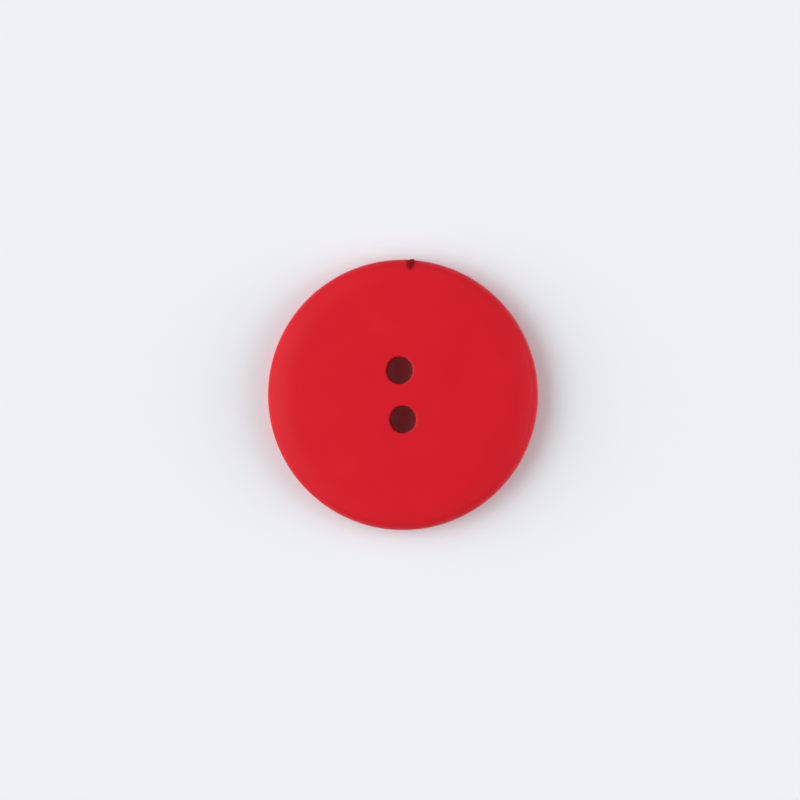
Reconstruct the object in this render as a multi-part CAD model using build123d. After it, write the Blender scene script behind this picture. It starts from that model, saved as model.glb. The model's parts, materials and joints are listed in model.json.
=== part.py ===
from build123d import *

import os
from math import asin, cos, degrees, sin

# A round sewing button with two thread holes, moulded in one piece from red plastic.
# The flat back lies on the XY plane, with the origin at its centre, and the face looks along +Z.
# The thread holes stand in a line along Y. The moulding gate's scar is on the rim, close to +Y.

# Outline and section, in millimetres
DIAMETER = 25.4
DOME_RADIUS = 90.0
SHOULDER_WIDTH = 2.7
SHOULDER_RADIUS = 8.0
FACE_EDGE_RADIUS = 1.2
RIM_LAND = 1.1
BACK_BEVEL = 0.4

# Thread holes, in millimetres and degrees
HOLE_DIAMETER = 2.55
HOLE_PITCH = 4.6
HOLE_LIP_RADIUS = 0.2
HOLE_SIDES = (-1, 1)
HOLE_SEAM_TURN = 22.5

# Gate scar: a slanting nick in the face's edge over a broken stub, in millimetres and degrees
GATE_TURN = -7.9
NICK_WIDTH = 0.9
NICK_SLOPE = 60.0
STUB_DIAMETER = 0.5
STUB_TAPER = 0.06
STUB_PROUD = 0.1

# How far a cutting tool runs past the faces that it cuts
OVERRUN = 1.0

# Derived sizes: dome, shoulder and edge are arcs that touch, each leaning further where it meets the next
RADIUS = DIAMETER / 2
DOME_REACH = RADIUS - SHOULDER_WIDTH
DOME_LEAN = asin(DOME_REACH / DOME_RADIUS)
SHOULDER_CENTRE_RADIUS = DOME_REACH - SHOULDER_RADIUS * sin(DOME_LEAN)
EDGE_CENTRE_RADIUS = RADIUS - FACE_EDGE_RADIUS
EDGE_LEAN = asin((EDGE_CENTRE_RADIUS - SHOULDER_CENTRE_RADIUS) / (SHOULDER_RADIUS - FACE_EDGE_RADIUS))
EDGE_CENTRE_HEIGHT = BACK_BEVEL + RIM_LAND
SHOULDER_CENTRE_HEIGHT = EDGE_CENTRE_HEIGHT - (SHOULDER_RADIUS - FACE_EDGE_RADIUS) * cos(EDGE_LEAN)
DOME_CENTRE_HEIGHT = SHOULDER_CENTRE_HEIGHT - (DOME_RADIUS - SHOULDER_RADIUS) * cos(DOME_LEAN)
THICKNESS = DOME_CENTRE_HEIGHT + DOME_RADIUS
GATE_HEIGHT = BACK_BEVEL + RIM_LAND / 2


def half_section():
    """Half of the button's section: flat back, bevel, upright land, rounded edge, shoulder and dome."""
    dome_lean = degrees(DOME_LEAN)
    edge_lean = degrees(EDGE_LEAN)
    edge_centre = (EDGE_CENTRE_RADIUS, EDGE_CENTRE_HEIGHT)
    shoulder_centre = (SHOULDER_CENTRE_RADIUS, SHOULDER_CENTRE_HEIGHT)
    dome_centre = (0, DOME_CENTRE_HEIGHT)
    back = Line((0, 0), (RADIUS - BACK_BEVEL, 0))
    bevel = Line((RADIUS - BACK_BEVEL, 0), (RADIUS, BACK_BEVEL))
    land = Line((RADIUS, BACK_BEVEL), (RADIUS, EDGE_CENTRE_HEIGHT))
    face_edge = CenterArc(edge_centre, FACE_EDGE_RADIUS, 0, 90 - edge_lean)
    shoulder = CenterArc(shoulder_centre, SHOULDER_RADIUS, 90 - edge_lean, edge_lean - dome_lean)
    dome = CenterArc(dome_centre, DOME_RADIUS, 90 - dome_lean, dome_lean)
    axis = Line((0, THICKNESS), (0, 0))
    return Plane.XZ * make_face([back, bevel, land, face_edge, shoulder, dome, axis])


def thread_holes():
    """The two drills, longer than the button is thick.

    Each is turned about its own axis, so that the seam of its wall lies in no plane of symmetry.
    """
    drill = Rot(0, 0, HOLE_SEAM_TURN) * Cylinder(HOLE_DIAMETER / 2, THICKNESS + 2 * OVERRUN)
    return [Pos(0, side * HOLE_PITCH / 2, THICKNESS / 2) * drill for side in HOLE_SIDES]


def hole_mouths(body):
    """The edges where the holes open: those on the back first, then those on the face."""
    walls = body.faces().filter_by(GeomType.CYLINDER).filter_by(
        lambda wall: wall.radius < HOLE_PITCH / 2
    )
    return walls.edges().filter_by(lambda edge: edge.is_closed).sort_by(Axis.Z)


def soften_hole_mouths(body):
    """Rounds the holes' mouths on the face, and bevels them on the back like the rim."""
    holes = len(HOLE_SIDES)
    body = fillet(hole_mouths(body)[-holes:], HOLE_LIP_RADIUS)
    return chamfer(hole_mouths(body)[:holes], BACK_BEVEL)


def at_gate(piece):
    """Turns a piece made on the +Y side of the rim round to where the gate was."""
    return Rot(0, 0, GATE_TURN) * piece


def gate_nick():
    """A round tool that slants down the face's edge, to end on the rim at the gate's height."""
    length = 2 * (THICKNESS + OVERRUN)
    tool = Pos(0, NICK_WIDTH / 2, 0) * Cylinder(NICK_WIDTH / 2, length)
    return at_gate(Pos(0, RADIUS, GATE_HEIGHT) * Rot(90 - NICK_SLOPE, 0, 0) * tool)


def gate_stub():
    """The broken end of the gate, a short taper that stands proud of the rim."""
    root = NICK_WIDTH / 2
    taper = Cone(STUB_DIAMETER / 2, STUB_DIAMETER / 2 - STUB_TAPER, root + STUB_PROUD,
                 align=(Align.CENTER, Align.CENTER, Align.MIN))
    return at_gate(Pos(0, RADIUS - root, GATE_HEIGHT) * Rot(-90, 0, 0) * taper)


def button():
    """The whole moulding as one solid."""
    body = revolve(half_section(), Axis.Z)
    body = body - thread_holes()
    body = soften_hole_mouths(body)
    return body - gate_nick() + gate_stub()


os.makedirs("parts", exist_ok=True)
export_step(button(), "parts/button.step")
print("thickness", round(THICKNESS, 3))
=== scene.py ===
import json
import math

import bmesh
import bpy
import numpy as np
from mathutils import Matrix, Vector, noise


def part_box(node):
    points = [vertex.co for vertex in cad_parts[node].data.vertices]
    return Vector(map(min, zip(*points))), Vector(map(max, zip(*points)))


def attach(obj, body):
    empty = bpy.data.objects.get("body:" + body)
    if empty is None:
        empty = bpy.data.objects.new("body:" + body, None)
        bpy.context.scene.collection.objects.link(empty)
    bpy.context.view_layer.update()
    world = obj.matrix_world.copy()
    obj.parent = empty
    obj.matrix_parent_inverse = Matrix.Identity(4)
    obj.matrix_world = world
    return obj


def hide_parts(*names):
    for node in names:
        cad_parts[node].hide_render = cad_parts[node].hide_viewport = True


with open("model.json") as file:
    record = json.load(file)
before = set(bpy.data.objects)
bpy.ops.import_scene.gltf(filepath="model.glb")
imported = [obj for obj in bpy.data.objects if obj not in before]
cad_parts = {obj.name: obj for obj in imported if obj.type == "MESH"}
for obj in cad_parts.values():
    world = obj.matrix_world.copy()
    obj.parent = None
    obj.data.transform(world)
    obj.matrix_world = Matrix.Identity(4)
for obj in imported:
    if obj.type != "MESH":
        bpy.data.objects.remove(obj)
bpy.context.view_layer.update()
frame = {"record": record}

# A red sewing button with two thread holes, moulded in one piece, lying face up on a pale table.
# Lengths are in metres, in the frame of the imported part. Angles that are set here are in degrees,
# and leans that follow from them or from the section are in radians.

MM = 0.001

# Sizes that the frame gives
LOW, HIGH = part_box("button")
RADIUS = (HIGH.x - LOW.x) / 2
THICKNESS = HIGH.z - LOW.z
BORES = [mount for mount in frame["record"]["mounts"] if mount["kind"] == "bore"]
HOLE_RADIUS = BORES[0]["dims"]["r_mm"] * MM
HOLE_OFFSET = abs(BORES[0]["pos_m"][1])

# Section of the button, as in the part's source, and the softening of its sharp corners
DOME_RADIUS = 90.0 * MM
SHOULDER_WIDTH = 2.7 * MM
SHOULDER_RADIUS = 8.0 * MM
FACE_EDGE_RADIUS = 1.2 * MM
RIM_LAND = 1.1 * MM
BACK_BEVEL = 0.4 * MM
HOLE_LIP_RADIUS = 0.2 * MM
SOFT_EDGE = 0.08 * MM

# Parting line of the mould, a low ridge round the rim
RIDGE_PROUD = 0.015 * MM
RIDGE_WIDTH = 0.14 * MM

# Gate scar on the rim: a slanting nick over the torn stub of the gate
GATE_TURN = -7.9
NICK_WIDTH = 0.9 * MM
NICK_SLOPE = 60.0
STUB_RADIUS = 0.25 * MM
STUB_TAPER = 0.06 * MM
STUB_PROUD = 0.1 * MM

# Torn surface of the scar: its depth, the width of its bumps and how finer bumps follow from them
TEAR_DEPTH = 0.03 * MM
TEAR_GRAIN = 0.12 * MM
TEAR_SMOOTHNESS = 0.8
TEAR_LACUNARITY = 2.0
TEAR_OCTAVES = 3

# Marks for the material: darker colour over the scar, fading towards the face's middle, and fainter
# round it
SCAR_REACH = 0.8 * MM
SCAR_FADE_SHARE = 0.7
DARKENING_REACH = 1.5 * MM
DARKENING_SHARE = 0.5

# Heights, radii and leans that follow from the section: dome, shoulder and edge are arcs that touch
DOME_REACH = RADIUS - SHOULDER_WIDTH
DOME_CENTRE_HEIGHT = THICKNESS - DOME_RADIUS
DOME_LEAN = math.asin(DOME_REACH / DOME_RADIUS)
SHOULDER_CENTRE_RADIUS = DOME_REACH - SHOULDER_RADIUS * math.sin(DOME_LEAN)
SHOULDER_CENTRE_HEIGHT = DOME_CENTRE_HEIGHT + (DOME_RADIUS - SHOULDER_RADIUS) * math.cos(DOME_LEAN)
EDGE_CENTRE_RADIUS = RADIUS - FACE_EDGE_RADIUS
EDGE_CENTRE_HEIGHT = BACK_BEVEL + RIM_LAND
EDGE_CENTRE_OFFSET = EDGE_CENTRE_RADIUS - SHOULDER_CENTRE_RADIUS
EDGE_LEAN = math.asin(EDGE_CENTRE_OFFSET / (SHOULDER_RADIUS - FACE_EDGE_RADIUS))
GATE_HEIGHT = BACK_BEVEL + RIM_LAND / 2

# Columns of the button's mesh: a ring of them from the rim to the grid circle, closer at the gate,
# and a ring round each hole, which ends on the grid circle and on the line between the two halves
GRID_RADIUS_SHARE = 0.75
COLUMN_STEP = 1.5
GATE_COLUMN_STEP = 0.16
GATE_COLUMN_SPREAD = 4.0
GATE_COLUMN_FLATNESS = 4
COLUMN_SAMPLES = 3600
LINE_COLUMNS = 60

# Rows of the button's mesh along each column, and the distance within which its sheets are joined
FACE_ROWS = 36
ROW_GROWTH = 1.06
BACK_ROWS = 18
LIP_ROWS = 8
WALL_ROWS = 12
RIDGE_ROWS = 8
CORNER_ROWS = 4
ARC_STEP = 0.05 * MM
STRAIGHT_STEP = 2 * ARC_STEP
MERGE_DISTANCE = 0.0001 * MM


def face_height(distance):
    """Height of the domed face at a distance from the button's axis."""
    return DOME_CENTRE_HEIGHT + math.sqrt(DOME_RADIUS ** 2 - distance ** 2)


def even_shares(steps):
    """Shares from 0 to 1 in even steps."""
    return [i / steps for i in range(steps + 1)]


def growing_shares(steps):
    """Shares from 0 to 1 whose steps grow by a fixed ratio."""
    return [(ROW_GROWTH ** i - 1) / (ROW_GROWTH ** steps - 1) for i in range(steps + 1)]


def straight_points(start, end):
    """Points along a straight stretch of the section, without its two ends."""
    steps = math.ceil((end - start).length / STRAIGHT_STEP)
    return [start.lerp(end, share) for share in even_shares(steps)[1:-1]]


def soft_corner(before, corner, after):
    """Points round a corner of the section that is softened between its two straight sides."""
    start = corner + (before - corner).normalized() * SOFT_EDGE
    end = corner + (after - corner).normalized() * SOFT_EDGE
    return [start.lerp(corner, s).lerp(corner.lerp(end, s), s) for s in even_shares(CORNER_ROWS)]


def joined(stretches):
    """One line of points through all the stretches, with straight points between them."""
    points = list(stretches[0])
    for stretch in stretches[1:]:
        points += straight_points(points[-1], stretch[0]) + stretch
    return points


def arc_points(centre_radius, centre_height, radius, start, end):
    """Points along an arc of the section, from one lean off upright to another."""
    steps = math.ceil((end - start) * radius / ARC_STEP)
    leans = [start + (end - start) * share for share in even_shares(steps)]
    centre = Vector((centre_radius, centre_height))
    return [centre + radius * Vector((math.sin(lean), math.cos(lean))) for lean in leans]


def ridge_points():
    """Points over the parting line's ridge, from its upper side to its lower side."""
    points = []
    for share in even_shares(RIDGE_ROWS):
        proud = RIDGE_PROUD * math.sin(math.pi * share) ** 2
        points.append(Vector((RADIUS + proud, GATE_HEIGHT + RIDGE_WIDTH * (0.5 - share))))
    return points


def rim_section():
    """Radius and height along the rim: from the grid circle on the face round to the one on the back."""
    grid = GRID_RADIUS_SHARE * RADIUS
    grid_lean = math.asin(grid / DOME_RADIUS)
    back_end = Vector((grid, 0))
    bevel_top = Vector((RADIUS, BACK_BEVEL))
    bevel_foot = Vector((RADIUS - BACK_BEVEL, 0))
    dome = arc_points(0, DOME_CENTRE_HEIGHT, DOME_RADIUS, grid_lean, DOME_LEAN)
    shoulder = arc_points(SHOULDER_CENTRE_RADIUS, SHOULDER_CENTRE_HEIGHT, SHOULDER_RADIUS,
                          DOME_LEAN, EDGE_LEAN)
    face_edge = arc_points(EDGE_CENTRE_RADIUS, EDGE_CENTRE_HEIGHT, FACE_EDGE_RADIUS,
                           EDGE_LEAN, math.pi / 2)
    ridge = ridge_points()
    upper_corner = soft_corner(ridge[-1], bevel_top, bevel_foot)
    lower_corner = soft_corner(bevel_top, bevel_foot, back_end)
    face = dome + shoulder[1:] + face_edge[1:]
    return joined([face, ridge, upper_corner, lower_corner, [back_end]])


def hole_foot():
    """Distance from the hole's axis and height, from the foot of its wall out to the flat back."""
    wall_end = Vector((HOLE_RADIUS, BACK_BEVEL))
    bevel_foot = Vector((HOLE_RADIUS + BACK_BEVEL, 0))
    above = wall_end + Vector((0, BACK_BEVEL))
    beyond = bevel_foot + Vector((BACK_BEVEL, 0))
    return joined([soft_corner(above, wall_end, bevel_foot), soft_corner(wall_end, bevel_foot, beyond)])


def column_angles(side):
    """Angles of the rim's columns on one half, close together at the gate."""
    fine = np.radians(np.linspace(0, 180, COLUMN_SAMPLES + 1))
    density = np.full_like(fine, 1 / math.radians(COLUMN_STEP))
    if side > 0:
        off = (fine - math.radians(90 + GATE_TURN)) / math.radians(GATE_COLUMN_SPREAD)
        density += np.exp(-off ** GATE_COLUMN_FLATNESS) / math.radians(GATE_COLUMN_STEP)
    count = np.concatenate(([0], np.cumsum((density[1:] + density[:-1]) / 2 * np.diff(fine))))
    places = np.linspace(0, count[-1], round(count[-1]) + 1)
    return [side * float(a) for a in np.interp(places, count, fine)]


def line_places():
    """Places along X of the columns between the two halves, closest together between the holes."""
    grid = GRID_RADIUS_SHARE * RADIUS
    ends = math.asinh(grid / HOLE_OFFSET)
    steps = np.linspace(-ends, ends, LINE_COLUMNS + 1)[1:-1]
    return [HOLE_OFFSET * math.sinh(s) for s in steps]


def hole_column(outer, side):
    """Points from outer, on the face, to a hole, down through it and out along the back."""
    hole = Vector((0, side * HOLE_OFFSET))
    way = outer - hole
    reach = way.length
    way.normalize()
    lip_radius = HOLE_RADIUS + HOLE_LIP_RADIUS

    def place(distance, height):
        spot = hole + way * distance
        return Vector((spot.x, spot.y, height))

    def on_face(distance):
        return place(distance, face_height((hole + way * distance).length))

    lip_spot = hole + way * lip_radius
    lip_top = face_height(lip_spot.length)
    slope = math.atan2(-lip_spot.dot(way), lip_top - DOME_CENTRE_HEIGHT)
    lip_centre = lip_top - HOLE_LIP_RADIUS / math.cos(slope)
    lip_end = lip_radius - HOLE_LIP_RADIUS * math.sin(slope)
    face = [on_face(lip_end + (reach - lip_end) * s) for s in reversed(growing_shares(FACE_ROWS))]
    lip = []
    for share in even_shares(LIP_ROWS)[1:]:
        angle = math.pi / 2 + slope + (math.pi / 2 - slope) * share
        lip.append(place(lip_radius + HOLE_LIP_RADIUS * math.cos(angle),
                         lip_centre + HOLE_LIP_RADIUS * math.sin(angle)))
    foot = [place(distance, height) for distance, height in hole_foot()]
    wall = [lip[-1].lerp(foot[0], share) for share in even_shares(WALL_ROWS)[1:-1]]
    back_end = place(reach, 0)
    back = [foot[-1].lerp(back_end, share) for share in growing_shares(BACK_ROWS)[1:]]
    return face + lip + wall + foot + back


def add_sheet(mesh, columns, closed):
    """Joins columns of points into a sheet of four-sided faces."""
    rows = [[mesh.verts.new(point) for point in column] for column in columns]
    follow = rows[1:] + rows[:1] if closed else rows[1:]
    for near, far in zip(rows, follow):
        for i in range(len(near) - 1):
            mesh.faces.new((near[i], far[i], far[i + 1], near[i + 1]))


def scar_gate(mesh):
    """Cuts the nick, raises the torn stub, and marks both and a fainter darkening round them for the
    material.
    """
    mark = mesh.verts.layers.float.new("gate_scar")
    turn = Matrix.Rotation(math.radians(GATE_TURN), 4, "Z")
    back_turn = turn.inverted()
    nick_radius = NICK_WIDTH / 2
    slope = math.radians(NICK_SLOPE)
    outward = Vector((0, math.sin(slope), math.cos(slope)))
    gate = Vector((0, RADIUS, GATE_HEIGHT))
    for vert in mesh.verts:
        spot = back_turn @ vert.co
        off = spot - gate
        if off.length > THICKNESS:
            continue
        # A fainter darkening of the colour round the nick
        darkening = 1 - math.hypot(off.x / NICK_WIDTH, off.y / DARKENING_REACH)
        vert[mark] = DARKENING_SHARE * max(0, darkening)
        bumps = noise.fractal(spot / TEAR_GRAIN, TEAR_SMOOTHNESS, TEAR_LACUNARITY, TEAR_OCTAVES)
        tear = TEAR_DEPTH * bumps
        height = off.dot(outward)
        if abs(off.x) < nick_radius:
            bottom = nick_radius - math.sqrt(nick_radius ** 2 - off.x ** 2)
            if height > bottom:
                spot += outward * (bottom + tear * (1 - abs(off.x) / nick_radius) - height)
                vert[mark] = 1 - SCAR_FADE_SHARE * min(1, max(0, -off.y / SCAR_REACH))
        around = math.hypot(off.x, off.z)
        if around < STUB_RADIUS and off.y > -nick_radius:
            fall = max(0, around - STUB_RADIUS + STUB_TAPER) / STUB_TAPER
            stub = RADIUS + STUB_PROUD + tear - fall * (nick_radius + STUB_PROUD)
            spot.y = max(spot.y, stub)
            vert[mark] = 1
        vert.co = turn @ spot


def make_button():
    """The button's visible mesh, in place of its solid."""
    mesh = bmesh.new()
    section = rim_section()
    grid = GRID_RADIUS_SHARE * RADIUS
    for side in (1, -1):
        angles = column_angles(side)
        rim = [[(r * math.cos(a), r * math.sin(a), z) for r, z in section] for a in angles]
        add_sheet(mesh, rim, closed=False)
        outer = [Vector((grid * math.cos(a), grid * math.sin(a))) for a in angles]
        outer += [Vector((x, 0)) for x in line_places()]
        add_sheet(mesh, [hole_column(point, side) for point in outer], closed=True)
    bmesh.ops.remove_doubles(mesh, verts=mesh.verts, dist=MERGE_DISTANCE)
    scar_gate(mesh)
    bmesh.ops.recalc_face_normals(mesh, faces=mesh.faces)
    data = bpy.data.meshes.new("red_button")
    mesh.to_mesh(data)
    mesh.free()
    data.shade_smooth()
    button = bpy.data.objects.new("red_button", data)
    bpy.context.scene.collection.objects.link(button)
    return button


# Colours, linear
RED = (0.680, 0.0154, 0.0262, 1)
RED_DEEP = (0.605, 0.0130, 0.0224, 1)
# Darker red blended in over the scar's mark, deepest at the rim end of the nick and on the stub
SCAR_RED = (0.36, 0.009, 0.013, 1)
FLOOR = (0.84, 0.868, 0.91, 1)
WHITE = (1, 1, 1, 1)

# Skin of the red plastic: clouds in the dye, orange peel from the mould and the fine grain of tumbling
CLOUD_WIDTH = 4.0 * MM
CLOUD_DETAIL = 3
PEEL_WIDTH = 1.2 * MM
PEEL_DEPTH = 0.007 * MM
PEEL_DETAIL = 1
GRAIN_WIDTH = 0.15 * MM
GRAIN_DEPTH = 0.0006 * MM
GRAIN_DETAIL = 2

# Gloss of the red plastic: its least and most roughness, what the torn scar adds to it, and the share
# of the scar's mark at which all of that is added
LEAST_ROUGHNESS = 0.26
MOST_ROUGHNESS = 0.34
TORN_ROUGHNESS = 0.55
TORN_SHARE = 0.3
GLOSS_LEVEL = 0.06
REFRACTION = 1.5

# Matt skin of the table
FLOOR_ROUGHNESS = 0.95
FLOOR_GLOSS_LEVEL = 0.1


def add_node(tree, kind, inputs=None, **settings):
    """A shader node with its settings, and the values of its inputs by name."""
    made = tree.nodes.new(kind)
    for name, value in settings.items():
        setattr(made, name, value)
    for name, value in (inputs or {}).items():
        made.inputs[name].default_value = value
    return made


def math_node(tree, operation, first, second):
    """A math node of two inputs, each another node's output or a number."""
    made = tree.nodes.new("ShaderNodeMath")
    made.operation = operation
    for socket, value in zip(made.inputs, (first, second)):
        if isinstance(value, (int, float)):
            socket.default_value = value
        else:
            tree.links.new(value, socket)
    return made.outputs["Value"]


def new_material(name):
    """A new material, its node tree and its surface shader."""
    material = bpy.data.materials.new(name)
    material.use_nodes = True
    tree = material.node_tree
    shader = tree.nodes["Principled BSDF"]
    return material, tree, shader


def red_plastic():
    """Dyed plastic with a satin skin: faint clouding, orange peel, fine grain and the dark scar."""
    material, tree, shader = new_material("red_plastic")
    link = tree.links.new
    place = add_node(tree, "ShaderNodeTexCoord").outputs["Object"]
    cloud = add_node(tree, "ShaderNodeTexNoise", {"Scale": 1 / CLOUD_WIDTH, "Detail": CLOUD_DETAIL})
    link(place, cloud.inputs["Vector"])
    colour = add_node(tree, "ShaderNodeMix", data_type="RGBA")
    colour.inputs["A"].default_value = RED_DEEP
    colour.inputs["B"].default_value = RED
    link(cloud.outputs["Fac"], colour.inputs["Factor"])
    scar = add_node(tree, "ShaderNodeAttribute", attribute_name="gate_scar")
    # Blends the darker red in over the scar's mark
    scarred = add_node(tree, "ShaderNodeMix", data_type="RGBA")
    scarred.inputs["B"].default_value = SCAR_RED
    link(scar.outputs["Fac"], scarred.inputs["Factor"])
    link(colour.outputs["Result"], scarred.inputs["A"])
    link(scarred.outputs["Result"], shader.inputs["Base Color"])
    grain = add_node(tree, "ShaderNodeTexNoise", {"Scale": 1 / GRAIN_WIDTH, "Detail": GRAIN_DETAIL})
    link(place, grain.inputs["Vector"])
    rough = add_node(tree, "ShaderNodeMapRange", {"To Min": LEAST_ROUGHNESS, "To Max": MOST_ROUGHNESS})
    link(grain.outputs["Fac"], rough.inputs["Value"])
    torn = add_node(tree, "ShaderNodeMapRange", {"From Max": TORN_SHARE, "To Max": TORN_ROUGHNESS})
    link(scar.outputs["Fac"], torn.inputs["Value"])
    roughness = math_node(tree, "ADD", rough.outputs["Result"], torn.outputs["Result"])
    link(roughness, shader.inputs["Roughness"])
    peel = add_node(tree, "ShaderNodeTexNoise", {"Scale": 1 / PEEL_WIDTH, "Detail": PEEL_DETAIL})
    link(place, peel.inputs["Vector"])
    peel_bump = add_node(tree, "ShaderNodeBump", {"Distance": PEEL_DEPTH})
    link(peel.outputs["Fac"], peel_bump.inputs["Height"])
    grain_bump = add_node(tree, "ShaderNodeBump", {"Distance": GRAIN_DEPTH})
    link(grain.outputs["Fac"], grain_bump.inputs["Height"])
    link(peel_bump.outputs["Normal"], grain_bump.inputs["Normal"])
    link(grain_bump.outputs["Normal"], shader.inputs["Normal"])
    shader.inputs["Specular IOR Level"].default_value = GLOSS_LEVEL
    shader.inputs["IOR"].default_value = REFRACTION
    return material


def pale_table():
    """Plain matt pale surface under the button."""
    material, _, shader = new_material("pale_table")
    shader.inputs["Base Color"].default_value = FLOOR
    shader.inputs["Roughness"].default_value = FLOOR_ROUGHNESS
    shader.inputs["Specular IOR Level"].default_value = FLOOR_GLOSS_LEVEL
    return material


# Table under the button
FLOOR_RADIUS = 1.2
FLOOR_SEGMENTS = 64
FLOOR_GAP = 0.01 * MM

# Lamps, as soft glows in the surroundings: azimuth in the picture, from its right-hand side, elevation,
# brightness, and how narrow the glow is
KEY_LIGHT = {"azimuth": 178.0, "elevation": 32.1, "brightness": 4.3, "narrowness": 5.8}
SIDE_LIGHT = {"azimuth": -0.3, "elevation": 23.7, "brightness": 3.85, "narrowness": 10.4}
TOP_LIGHT = {"azimuth": 52.0, "elevation": 81.0, "brightness": 0.64, "narrowness": 1.9}

# Brightness of the surroundings at the horizon, and the power of the height with which it falls
HORIZON_BRIGHTNESS = 0.14
HORIZON_FALL_POWER = 0.25

# Shade of the camera overhead: angles from straight up where it begins to fade and where it ends,
# and the share of the light that it takes
OVERHEAD_SHADE = {"middle": 24.3, "edge": 32.8, "share": 0.915}

# Backdrop that low views see: its brightness, and the elevations where it begins to fade and ends
BACKDROP = {"brightness": 0.86, "fade": 8.0, "end": 14.0}

# Camera: nearly straight down, with the disc where the photograph has it
PICTURE_PIXELS = 800
DISC_CENTRE_PIXELS = (402.45, 394.9)
DISC_RADIUS_PIXELS = 135.2
LENS_MM = 200.0
SENSOR_MM = 36.0
CAMERA_ROLL = -3.9
CAMERA_TILT_RIGHT = 4.4
NEAR_CLIP_SHARE = 0.1
FAR_CLIP = 2 * FLOOR_RADIUS


def make_floor():
    """A wide flat table top."""
    mesh = bmesh.new()
    bmesh.ops.create_circle(mesh, cap_ends=True, segments=FLOOR_SEGMENTS, radius=FLOOR_RADIUS)
    data = bpy.data.meshes.new("table_top")
    mesh.to_mesh(data)
    mesh.free()
    floor = bpy.data.objects.new("table_top", data)
    floor.location.z = LOW.z - FLOOR_GAP
    floor.data.materials.append(pale_table())
    bpy.context.scene.collection.objects.link(floor)


def add_glow(tree, way, light):
    """A lamp's soft glow in the surroundings, brightest along its own direction."""
    turn = math.radians(light["azimuth"] + CAMERA_ROLL)
    rise = math.radians(light["elevation"])
    dot = add_node(tree, "ShaderNodeVectorMath", operation="DOT_PRODUCT")
    tree.links.new(way, dot.inputs[0])
    dot.inputs[1].default_value = (math.cos(turn) * math.cos(rise), math.sin(turn) * math.cos(rise),
                                   math.sin(rise))
    facing = math_node(tree, "MAXIMUM", dot.outputs["Value"], 0)
    glow = math_node(tree, "POWER", facing, light["narrowness"])
    return math_node(tree, "MULTIPLY", glow, light["brightness"])


def add_backdrop(tree, height, strength):
    """A plain pale backdrop behind the table, which only the camera and what is glossy or clear see."""
    path = add_node(tree, "ShaderNodeLightPath")
    seen = math_node(tree, "MAXIMUM", path.outputs["Is Camera Ray"], path.outputs["Is Glossy Ray"])
    seen = math_node(tree, "MAXIMUM", seen, path.outputs["Is Transmission Ray"])
    low = add_node(tree, "ShaderNodeMapRange", {
        "From Min": math.sin(math.radians(BACKDROP["fade"])),
        "From Max": math.sin(math.radians(BACKDROP["end"])),
        "To Min": 1,
        "To Max": 0,
    }, interpolation_type="SMOOTHSTEP")
    tree.links.new(height, low.inputs["Value"])
    cover = math_node(tree, "MULTIPLY", seen, low.outputs["Result"])
    change = math_node(tree, "SUBTRACT", BACKDROP["brightness"], strength)
    return math_node(tree, "ADD", strength, math_node(tree, "MULTIPLY", cover, change))


def make_surroundings():
    """A studio: soft lamps at both sides and overhead, the camera's own shade, and a pale backdrop."""
    world = bpy.data.worlds.new("studio")
    world.use_nodes = True
    tree = world.node_tree
    background = tree.nodes["Background"]
    background.inputs["Color"].default_value = WHITE
    way = add_node(tree, "ShaderNodeTexCoord").outputs["Generated"]
    parts = add_node(tree, "ShaderNodeSeparateXYZ")
    tree.links.new(way, parts.inputs["Vector"])
    height = math_node(tree, "MAXIMUM", parts.outputs["Z"], 0)
    rise = math_node(tree, "POWER", height, HORIZON_FALL_POWER)
    fall = math_node(tree, "SUBTRACT", 1, rise)
    light = math_node(tree, "MULTIPLY", fall, HORIZON_BRIGHTNESS)
    for lamp in (KEY_LIGHT, SIDE_LIGHT, TOP_LIGHT):
        light = math_node(tree, "ADD", light, add_glow(tree, way, lamp))
    shade = add_node(tree, "ShaderNodeMapRange", {
        "From Min": math.cos(math.radians(OVERHEAD_SHADE["edge"])),
        "From Max": math.cos(math.radians(OVERHEAD_SHADE["middle"])),
        "To Min": 1,
        "To Max": 1 - OVERHEAD_SHADE["share"],
    }, interpolation_type="SMOOTHSTEP")
    tree.links.new(height, shade.inputs["Value"])
    strength = math_node(tree, "MULTIPLY", light, shade.outputs["Result"])
    tree.links.new(add_backdrop(tree, height, strength), background.inputs["Strength"])
    bpy.context.scene.world = world


def make_camera():
    """Looks down on the face, rolled so that the holes lean as in the photograph."""
    data = bpy.data.cameras.new("camera")
    data.lens = LENS_MM
    data.sensor_width = SENSOR_MM
    camera = bpy.data.objects.new("camera", data)
    roll = math.radians(CAMERA_ROLL)
    right = Vector((math.cos(roll), math.sin(roll), 0))
    up = Vector((-math.sin(roll), math.cos(roll), 0))
    lean = right * math.tan(math.radians(CAMERA_TILT_RIGHT))
    back = (lean + Vector((0, 0, 1))).normalized()
    across = up.cross(back).normalized()
    above = back.cross(across)
    pixel = RADIUS / DISC_RADIUS_PIXELS
    distance = pixel * PICTURE_PIXELS * LENS_MM / SENSOR_MM
    place = Vector((0, 0, EDGE_CENTRE_HEIGHT)) + back * distance
    place += across * (PICTURE_PIXELS / 2 - DISC_CENTRE_PIXELS[0]) * pixel
    place += above * (DISC_CENTRE_PIXELS[1] - PICTURE_PIXELS / 2) * pixel
    turn = Matrix((across, above, back)).transposed()
    camera.matrix_world = Matrix.Translation(place) @ turn.to_4x4()
    data.clip_start = distance * NEAR_CLIP_SHARE
    data.clip_end = FAR_CLIP
    bpy.context.scene.collection.objects.link(camera)
    bpy.context.scene.camera = camera


button = make_button()
button.data.materials.append(red_plastic())
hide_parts("button")
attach(button, "root")
make_floor()
make_surroundings()
make_camera()
bpy.context.scene.view_settings.view_transform = "Standard"
